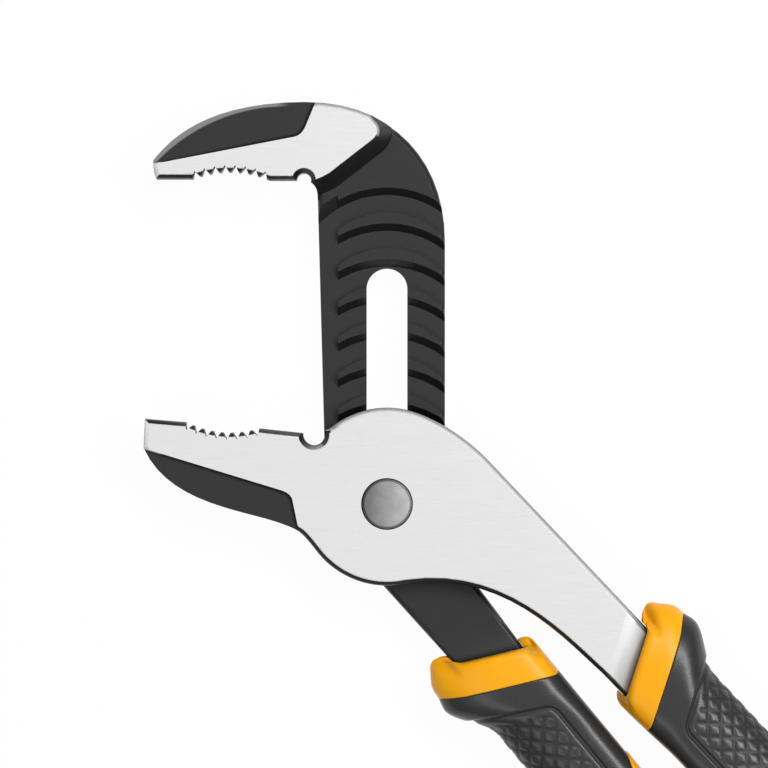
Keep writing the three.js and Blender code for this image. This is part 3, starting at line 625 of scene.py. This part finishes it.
def add(tree, kind, inputs=None, **settings):
    """A shader node with its settings; an input that is a socket is linked, any other is set."""
    item = tree.nodes.new(kind)
    for key, value in settings.items():
        setattr(item, key, value)
    for key, value in (inputs or {}).items():
        if isinstance(value, bpy.types.NodeSocket):
            tree.links.new(value, item.inputs[key])
        else:
            item.inputs[key].default_value = value
    return item


def finish_of(name):
    """A new material: its node tree, its shader and the object's own coordinates."""
    material = bpy.data.materials.new(name)
    material.use_nodes = True
    tree = material.node_tree
    shader = tree.nodes["Principled BSDF"]
    place = add(tree, "ShaderNodeTexCoord").outputs["Object"]
    return material, tree, shader, place


def noise(tree, place, scale, detail=3.0, roughness=0.55, turn=0.0):
    """Noise from 0 to 1 of the given scale per metre on each axis, turned about Z."""
    mapping = add(tree, "ShaderNodeMapping", {"Vector": place, "Rotation": (0, 0, turn), "Scale": scale})
    texture = add(
        tree,
        "ShaderNodeTexNoise",
        {"Vector": mapping.outputs[0], "Scale": 1.0, "Detail": detail, "Roughness": roughness},
    )
    return texture.outputs["Fac"]


def ranged(tree, value, low, high, to_low, to_high, kind="LINEAR"):
    """A value mapped from one range to another and held at its ends."""
    item = add(
        tree,
        "ShaderNodeMapRange",
        {"Value": value, "From Min": low, "From Max": high, "To Min": to_low, "To Max": to_high},
        interpolation_type=kind,
    )
    return item.outputs[0]


def blend(tree, share, first, second):
    """Two colours mixed by a share; each is a colour or a socket."""
    mix = add(tree, "ShaderNodeMix", data_type="RGBA")
    for socket, value in ((mix.inputs[0], share), (mix.inputs[6], first), (mix.inputs[7], second)):
        if isinstance(value, bpy.types.NodeSocket):
            tree.links.new(value, socket)
        else:
            socket.default_value = value
    return mix.outputs[2]


def grey(value):
    """A neutral colour."""
    return (value, value, value, 1.0)


def math_of(tree, operation, first, second):
    """One arithmetic step between two sockets or numbers."""
    item = add(tree, "ShaderNodeMath", operation=operation)
    for socket, value in zip(item.inputs, (first, second)):
        if isinstance(value, bpy.types.NodeSocket):
            tree.links.new(value, socket)
        else:
            socket.default_value = value
    return item.outputs[0]


def product(tree, first, *others):
    """Several shares multiplied together."""
    for other in others:
        first = math_of(tree, "MULTIPLY", first, other)
    return first


def vector_of(tree, operation, *vectors):
    """One step of vector arithmetic; a dot product and a length give a number."""
    item = add(tree, "ShaderNodeVectorMath", dict(enumerate(vectors)), operation=operation)
    return item.outputs["Value" if operation in ("DOT_PRODUCT", "LENGTH") else "Vector"]


def share_of(tree, key):
    """A share that is kept with the piece's vertices."""
    return add(tree, "ShaderNodeAttribute", attribute_name=key).outputs["Fac"]


def bumped(tree, shader, height, strength, depth):
    """A shader's normal tilted by the slope of a height, of the given strength and depth in metres."""
    bump = add(tree, "ShaderNodeBump", {"Height": height, "Strength": strength, "Distance": depth})
    tree.links.new(bump.outputs[0], shader.inputs["Normal"])


def in_metres(lengths):
    """Lengths in millimetres turned to metres."""
    return tuple(length * MM for length in lengths)


def lip_line(handle):
    """A direction and a reach in metres.

    A point's part along the direction, less the reach, is its way past the lip.
    """
    c, s = math.cos(handle["angle"]), math.sin(handle["angle"])
    lean = handle["skew"]
    axis = (c - lean * handle["side"] * s, s + lean * handle["side"] * c, 0.0)
    reach = handle["start"] + handle["lip_start"] + lean * (handle["offset"] + SKEW_CENTRE)
    return axis, reach * MM


def lip_shares(tree, place, handle):
    """Two shares of painted shade that fall towards a collar's lip: of the ground brightness and of the
    black coat.
    """
    axis, reach = lip_line(handle)
    past = math_of(tree, "SUBTRACT", vector_of(tree, "DOT_PRODUCT", place, axis), reach)
    fade = ranged(tree, past, -LIP_FADE * MM, 0, 1, LIP_SHARE)
    shade = ranged(tree, past, -LIP_SHADE[0] * MM, -LIP_SHADE[1] * MM, 1, LIP_DARK)
    return fade, shade


def ground_share(tree, side, height, planes, own_normal, upright):
    """Share of ground steel: level faces at either plane, and gentle slopes that dip towards the handle."""
    back, front = planes
    near, far = in_metres(GROUND_REACH)
    depth = math_of(tree, "SUBTRACT", front, height)
    on_front = ranged(tree, depth, near, far, 1, 0, "SMOOTHSTEP")
    on_back = ranged(tree, height, back + near, back + far, 1, 0, "SMOOTHSTEP")
    level = math_of(tree, "MULTIPLY", upright, upright)
    on_planes = math_of(tree, "MAXIMUM", on_front, on_back)
    on_planes = math_of(tree, "MULTIPLY", on_planes, ranged(tree, level, *LEVEL_TILT, 0, 1))
    toward_lamp = vector_of(tree, "DOT_PRODUCT", own_normal, LIT_SIDE)
    flat = math_of(tree, "ADD", upright, math_of(tree, "MULTIPLY", toward_lamp, LIT_LEAN))
    dip = product(
        tree,
        ranged(tree, height, front - DIP_REACH[0] * MM, front - DIP_REACH[1] * MM, 0, 1),
        ranged(tree, flat, *DIP_FLAT, 0, 1),
        ranged(tree, toward_lamp, *LIT_TILT, 1, 0),
        ranged(tree, side, *in_metres(DIP_SIDE), 0, 1),
    )
    return math_of(tree, "MAXIMUM", on_planes, dip)


def lit_side_share(tree, own_normal):
    """Share of the lit side: the level part of the normal, made a unit long, along the side that faces the
    lamp.
    """
    heading = vector_of(tree, "NORMALIZE", vector_of(tree, "MULTIPLY", own_normal, (1, 1, 0)))
    return ranged(tree, vector_of(tree, "DOT_PRODUCT", heading, LIT_SIDE), *LIT_HEADING, 0, 1)


def crown_highlight(tree, place, side, upright):
    """Share of the crown's painted highlight: near the crown's arc, on level faces, fading out towards the
    arm.
    """
    away = vector_of(tree, "SUBTRACT", place, in_metres((*CROWN_CENTRE, 0)))
    away = vector_of(tree, "LENGTH", vector_of(tree, "MULTIPLY", away, (1, 1, 0)))
    inside = math_of(tree, "SUBTRACT", CROWN_RADIUS * MM, away)
    level = math_of(tree, "MULTIPLY", upright, upright)
    return product(
        tree,
        ranged(tree, inside, *in_metres(CROWN_RIM), 1, 0),
        ranged(tree, side, *in_metres(CROWN_RIM_END), 1, 0),
        ranged(tree, level, *CROWN_LEVEL, 0, 1),
    )


def forged_finish(name, planes, brush_turn, handle, crowned=False):
    """Black forging with bright ground planes: the colours are mixed by shares of place and direction.

    The rims of the ground planes are pale. Rounded edges that face the lamp get a painted highlight, pale
    to grey, and those at the jaw tips are as bright as the planes. A crowned arm has a painted grey
    highlight along its crown. Just before a collar's lip the brightness fades and the black darkens:
    painted shade.
    """
    material, tree, shader, place = finish_of(name)
    back, front = planes
    split = add(tree, "ShaderNodeSeparateXYZ", {"Vector": place})
    side, height = split.outputs["X"], split.outputs["Z"]
    own_normal = add(tree, "ShaderNodeTexCoord").outputs["Normal"]
    face_normal = add(
        tree,
        "ShaderNodeVectorTransform",
        {"Vector": add(tree, "ShaderNodeNewGeometry").outputs["True Normal"]},
        vector_type="NORMAL",
        convert_from="WORLD",
        convert_to="OBJECT",
    ).outputs[0]
    upright = add(tree, "ShaderNodeSeparateXYZ", {"Vector": face_normal}).outputs["Z"]
    lip_painted_fade, lip_shade = lip_shares(tree, place, handle)
    ground = ground_share(tree, side, height, planes, own_normal, upright)
    # Painted shade: the ground brightness fades towards the collar's lip
    ground = math_of(tree, "MULTIPLY", ground, lip_painted_fade)

    depth = math_of(tree, "SUBTRACT", front, height)
    sunk = math_of(tree, "MINIMUM", depth, math_of(tree, "SUBTRACT", height, back))
    rim = product(tree, ranged(tree, sunk, *in_metres(RIM_PALE), 1, 0), lip_painted_fade)
    edge = ranged(tree, depth, *in_metres(EDGE_DEPTH), 1, 0)
    # Painted highlight on rounded edges that face the lamp: pale near the plane, grey further round
    from_jaw = ranged(tree, side, *in_metres(HIGHLIGHT_FROM), 0, 1)
    edge_highlight = product(tree, edge, lit_side_share(tree, own_normal), from_jaw, lip_painted_fade)
    highlight_pale = ranged(tree, depth, *in_metres(HIGHLIGHT_PALE_REACH), 1, 0)
    tip = ranged(tree, vector_of(tree, "DOT_PRODUCT", face_normal, TIP_SIDE), *TIP_TILT, 0, 1)
    tip_edge = product(tree, edge, tip, ranged(tree, side, *in_metres(TIP_END), 1, 0))

    cloud = noise(tree, place, COAT_CLOUD_SCALE)
    scale_pits = noise(tree, place, PIT_SCALE, detail=4)
    brush = noise(tree, place, BRUSH_SCALE, detail=2, turn=brush_turn)
    coat = blend(tree, cloud, *(grey(BLACK_COAT * share) for share in COAT_CLOUD))
    # Painted shade: the black coat darkens just before the collar's lip
    coat = blend(tree, lip_shade, grey(BLACK_COAT * LIP_DARK), coat)
    coat = blend(tree, rim, coat, grey(RIM_AND_HIGHLIGHT_PALE))
    coat = blend(tree, edge_highlight, coat, blend(tree, highlight_pale, grey(HIGHLIGHT_GREY), grey(RIM_AND_HIGHLIGHT_PALE)))
    if crowned:
        # Painted highlight along the crown's rim
        coat = blend(tree, crown_highlight(tree, place, side, upright), coat, grey(CROWN_HIGHLIGHT_GREY))
    coat = blend(tree, tip_edge, coat, grey(GROUND_STEEL))
    bright = blend(tree, brush, grey(GROUND_STEEL - GROUND_CLOUD), grey(GROUND_STEEL + GROUND_CLOUD))
    tree.links.new(blend(tree, ground, coat, bright), shader.inputs["Base Color"])
    tree.links.new(ground, shader.inputs["Metallic"])
    gloss = shader.inputs["Specular IOR Level"]
    gloss.default_value = COAT_GLOSS
    tree.links.new(math_of(tree, "MULTIPLY", lip_shade, COAT_GLOSS), gloss)
    coat_rough = ranged(tree, scale_pits, *NOISE_RANGE, *COAT_ROUGHNESS)
    ground_rough = ranged(tree, brush, *NOISE_RANGE, *GROUND_ROUGHNESS)
    rough = add(tree, "ShaderNodeMix", {0: ground, 2: coat_rough, 3: ground_rough})
    tree.links.new(rough.outputs[0], shader.inputs["Roughness"])
    grain = add(tree, "ShaderNodeMix", {0: ground, 2: scale_pits, 3: brush})
    bumped(tree, shader, grain.outputs[0], *FORGING_BUMP)
    return material


def turned_finish(name, level):
    """Dull turned steel: fine rings about the pivot axis, and a sheen that rises along X over the head."""
    material, tree, shader, place = finish_of(name)
    side = add(tree, "ShaderNodeSeparateXYZ", {"Vector": place}).outputs["X"]
    # Painted highlight: the tone brightens from the dull to the bright one towards +X across the head
    sheen = ranged(tree, side, -HEAD_RADIUS * MM, HEAD_RADIUS * MM, 0, 1)
    rings = add(
        tree,
        "ShaderNodeTexWave",
        {"Vector": place, "Scale": RING_SCALE, "Distortion": RING_WAVER, "Detail": 2.0},
        wave_type="RINGS",
        rings_direction="Z",
    ).outputs["Fac"]
    cloud = noise(tree, place, TURNED_CLOUD_SCALE)
    share = math_of(tree, "MULTIPLY", rings, 0.5)
    share = math_of(tree, "ADD", share, math_of(tree, "MULTIPLY", cloud, 0.5))
    dull = blend(tree, share, *(grey(level * tone) for tone in DULL_TONE))
    bright = blend(tree, share, *(grey(level * tone) for tone in BRIGHT_TONE))
    tree.links.new(blend(tree, sheen, dull, bright), shader.inputs["Base Color"])
    shader.inputs["Metallic"].default_value = 1.0
    tree.links.new(ranged(tree, cloud, *NOISE_RANGE, *TURNED_ROUGHNESS), shader.inputs["Roughness"])
    bumped(tree, shader, rings, *TURNED_BUMP)
    return material


def moulded_finish(name, tones, surface, relief=False):
    """Moulded plastic or rubber: cloudy colour between two tones and a fine spark-eroded grain.

    Where the piece has a panel share it is darker, a painted shade of its texture; where it has a groove
    share it is rough and dull, and where it has a flank share it is duller still.
    """
    material, tree, shader, place = finish_of(name)
    dark, light = tones
    rough, gloss, grain_scale, grain_depth = surface
    cloud = noise(tree, place, MOULD_CLOUD_SCALE)
    grain = noise(tree, place, (grain_scale,) * 3, detail=2)
    panel, groove = (share_of(tree, key) for key in ("panel", "groove"))
    shaded = tuple(PANEL_SHADE * channel for channel in dark[:3]) + (1.0,)
    colour = blend(tree, panel, blend(tree, cloud, dark, light), shaded)
    tree.links.new(colour, shader.inputs["Base Color"])
    skin = ranged(tree, grain, *NOISE_RANGE, rough - MOULD_ROUGHNESS, rough + MOULD_ROUGHNESS)
    for share, roughening in ((panel, PANEL_ROUGHENING), (groove, GROOVE_ROUGHENING)):
        skin = math_of(tree, "ADD", skin, math_of(tree, "MULTIPLY", share, roughening))
    tree.links.new(skin, shader.inputs["Roughness"])
    shader.inputs["Specular IOR Level"].default_value = gloss
    if relief:
        flank = share_of(tree, "flank")
        level = gloss
        for share, factor in ((panel, PANEL_GLOSS), (groove, GROOVE_GLOSS), (flank, FLANK_GLOSS)):
            level = math_of(tree, "MULTIPLY", ranged(tree, share, 0, 1, 1, factor), level)
        tree.links.new(level, shader.inputs["Specular IOR Level"])
    bumped(tree, shader, grain, MOULD_BUMP, grain_depth)
    return material


def floor_finish():
    """Pale matt floor that shows near white to the camera and in reflections but keeps soft shadows."""
    material, tree, shader, _ = finish_of("pale_floor")
    shader.inputs["Base Color"].default_value = grey(FLOOR_WHITE)
    shader.inputs["Roughness"].default_value = FLOOR_ROUGHNESS
    path = add(tree, "ShaderNodeLightPath")
    seen = math_of(tree, "MAXIMUM", path.outputs["Is Camera Ray"], path.outputs["Is Glossy Ray"])
    seen = math_of(tree, "MAXIMUM", seen, path.outputs["Is Transmission Ray"])
    glow = add(tree, "ShaderNodeEmission", {"Color": grey(1.0), "Strength": 1.0})
    share = math_of(tree, "MULTIPLY", seen, FLOOR_GLOW)
    mix = add(tree, "ShaderNodeMixShader", {0: share, 1: shader.outputs[0], 2: glow.outputs[0]})
    tree.links.new(mix.outputs[0], tree.nodes["Material Output"].inputs["Surface"])
    return material


slotted_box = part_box("slotted_jaw_arm")
arm_planes = (slotted_box[0][2], slotted_box[1][2])
handle_turn = math.radians(HANDLE_SLOPE)

slotted_steel = forged_finish("slotted_arm_steel", arm_planes, 0.0, LEFT, crowned=True)
tongue_steel = forged_finish("tongue_arm_steel", arm_planes, handle_turn, RIGHT)
bolt_steel = turned_finish("bolt_steel", BOLT_STEEL)
orange = moulded_finish("hard_orange", ORANGE_TONES, ORANGE_SURFACE)
grey_rubber = moulded_finish("soft_grey", RUBBER_TONES, RUBBER_SURFACE, relief=True)

# Pieces on their bodies

for node, name, material, crease, body, slot in (
    ("slotted_jaw_arm", "slotted_arm_forging", slotted_steel, ARM_CREASE, "slotted_arm", "forged_black"),
    ("tongue_jaw_arm", "tongue_arm_forging", tongue_steel, ARM_CREASE, "tongue_arm", "ground_steel"),
    ("pivot_bolt", "turned_bolt", bolt_steel, ROUND_CREASE, "pivot", "bolt_steel"),
    ("pivot_washer", "pressed_washer", bolt_steel, ROUND_CREASE, "pivot", "bolt_steel"),
    ("pivot_nut", "hexagon_nut", bolt_steel, NUT_CREASE, "pivot", "bolt_steel"),
):
    forging = carried_over(node, name, material, crease)
    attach(forging, body)
    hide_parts(node)

for side, handle, body in (("left", LEFT, "slotted_arm"), ("right", RIGHT, "tongue_arm")):
    core = piece_of(side + "_collar_and_inlay", [collar(handle), inlay(handle)], orange)
    cover_shell, shares = grip_cover(handle)
    cover = piece_of(side + "_soft_cover", [cover_shell], grey_rubber)
    for key, share in shares.items():
        cover.data.attributes.new(key, "FLOAT", "POINT").data.foreach_set("value", share)
    for piece, node, slot in ((core, "core", "hard_orange"), (cover, "cover", "soft_grey")):
        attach(piece, body)
        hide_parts(side + "_grip_" + node)

# Floor, light and camera

floor_mesh = bpy.data.meshes.new("floor")
corners = np.array([(-1, -1), (1, -1), (1, 1), (-1, 1)]) * FLOOR_HALF
floor_mesh.from_pydata(np.column_stack([corners, np.zeros(4)]).tolist(), [], [(0, 1, 2, 3)])
floor = bpy.data.objects.new("floor", floor_mesh)
bpy.context.scene.collection.objects.link(floor)
floor_mesh.materials.append(floor_finish())

world = bpy.data.worlds.new("studio")
bpy.context.scene.world = world
world.use_nodes = True
sky = world.node_tree
direction = add(sky, "ShaderNodeTexCoord").outputs["Generated"]
facing = vector_of(sky, "DOT_PRODUCT", direction, SKY_BRIGHT_SIDE)
slope = ranged(sky, facing, *SKY_RANGE, SKY_DARK, 1.0, "SMOOTHSTEP")
path = add(sky, "ShaderNodeLightPath")
glossy = math_of(sky, "MAXIMUM", path.outputs["Is Glossy Ray"], path.outputs["Is Transmission Ray"])
level = ranged(sky, glossy, 0, 1, SKY_LIGHT, SKY_GLOSS)
lit = math_of(sky, "MULTIPLY", slope, level)
strength = add(sky, "ShaderNodeMix", {0: path.outputs["Is Camera Ray"], 2: lit, 3: 1.0})
sky.nodes["Background"].inputs["Color"].default_value = grey(1.0)
sky.links.new(strength.outputs[0], sky.nodes["Background"].inputs["Strength"])

for name, place, power in LAMPS:
    lamp = bpy.data.lights.new(name, "AREA")
    lamp.shape = "RECTANGLE"
    lamp.size, lamp.size_y = LAMP_SIZE
    lamp.energy = power
    holder = bpy.data.objects.new(name, lamp)
    holder.location = place
    direction = np.array(place) / np.linalg.norm(place)
    holder.rotation_euler = (0.0, math.acos(direction[2]), math.atan2(direction[1], direction[0]))
    bpy.context.scene.collection.objects.link(holder)

lens = bpy.data.cameras.new("camera")
lens.sensor_width = SENSOR
lens.lens = SENSOR * (VIEW_DISTANCE - arm_planes[1]) / VIEW_WIDTH
lens.clip_end = VIEW_END
camera = bpy.data.objects.new("camera", lens)
camera.location = (*VIEW_CENTRE, VIEW_DISTANCE)
bpy.context.scene.collection.objects.link(camera)
bpy.context.scene.camera = camera
bpy.context.scene.view_settings.view_transform = "Standard"
